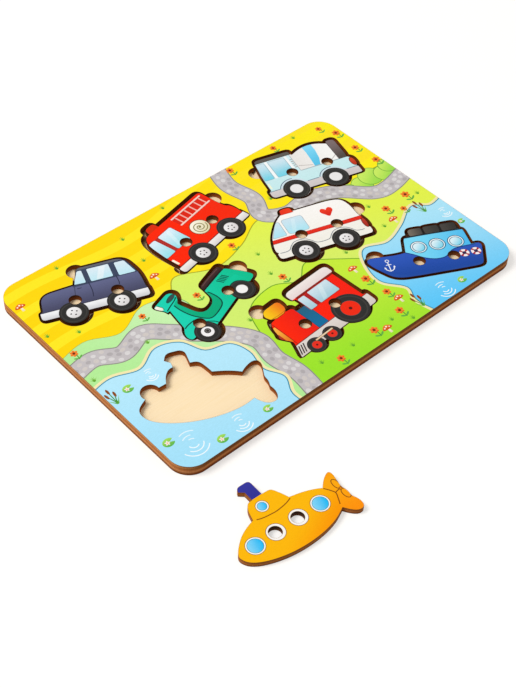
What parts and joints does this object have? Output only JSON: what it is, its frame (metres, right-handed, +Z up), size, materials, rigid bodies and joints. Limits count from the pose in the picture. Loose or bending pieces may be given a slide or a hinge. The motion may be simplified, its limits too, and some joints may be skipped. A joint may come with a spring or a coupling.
{
  "type": "peg puzzle",
  "caption": "Wooden inset puzzle: vehicle-shaped plywood pieces with round holes lift out of a tray's matching recesses, each with a finger notch; a submarine lies beside it.",
  "frame": {"origin": "middle of the tray's underside, where it meets the table", "axes": "+X along the tray's long side, +Y to its back edge, +Z up out of the recesses"},
  "size_m": [0.3125, 0.2834, 0.008],
  "materials": {
    "birch_plywood": "smooth, unprinted",
    "printed_board_plywood": "satin print on plywood",
    "car_plywood": "satin print on plywood",
    "fire_engine_plywood": "satin print on plywood",
    "mixer_truck_plywood": "satin print on plywood",
    "ambulance_plywood": "satin print on plywood",
    "scooter_plywood": "satin print on plywood",
    "locomotive_plywood": "satin print on plywood",
    "ship_plywood": "satin print on plywood",
    "submarine_plywood": "satin print on plywood"
  },
  "bodies": {
    "tray": {"base_board": "birch_plywood", "frame_board": "printed_board_plywood"},
    "car_piece": {"car": "car_plywood"},
    "fire_engine_piece": {"fire_engine": "fire_engine_plywood"},
    "mixer_truck_piece": {"mixer_truck": "mixer_truck_plywood"},
    "ambulance_piece": {"ambulance": "ambulance_plywood"},
    "scooter_piece": {"scooter": "scooter_plywood"},
    "locomotive_piece": {"locomotive": "locomotive_plywood"},
    "ship_piece": {"ship": "ship_plywood"},
    "submarine_piece": {"submarine": "submarine_plywood"}
  },
  "joints": [
    {"name": "car_lift", "type": "slide", "parent": "tray", "child": "car_piece", "axis": [0, 0, 1], "range_m": [0, 0.015]},
    {"name": "fire_engine_lift", "type": "slide", "parent": "tray", "child": "fire_engine_piece", "axis": [0, 0, 1], "range_m": [0, 0.015]},
    {"name": "mixer_truck_lift", "type": "slide", "parent": "tray", "child": "mixer_truck_piece", "axis": [0, 0, 1], "range_m": [0, 0.015]},
    {"name": "ambulance_lift", "type": "slide", "parent": "tray", "child": "ambulance_piece", "axis": [0, 0, 1], "range_m": [0, 0.015]},
    {"name": "scooter_lift", "type": "slide", "parent": "tray", "child": "scooter_piece", "axis": [0, 0, 1], "range_m": [0, 0.015]},
    {"name": "locomotive_lift", "type": "slide", "parent": "tray", "child": "locomotive_piece", "axis": [0, 0, 1], "range_m": [0, 0.015]},
    {"name": "ship_lift", "type": "slide", "parent": "tray", "child": "ship_piece", "axis": [0, 0, 1], "range_m": [0, 0.015]},
    {"name": "submarine_lift", "type": "slide", "parent": "tray", "child": "submarine_piece", "axis": [0, 0, 1], "range_m": [0, 0.015]}
  ]
}
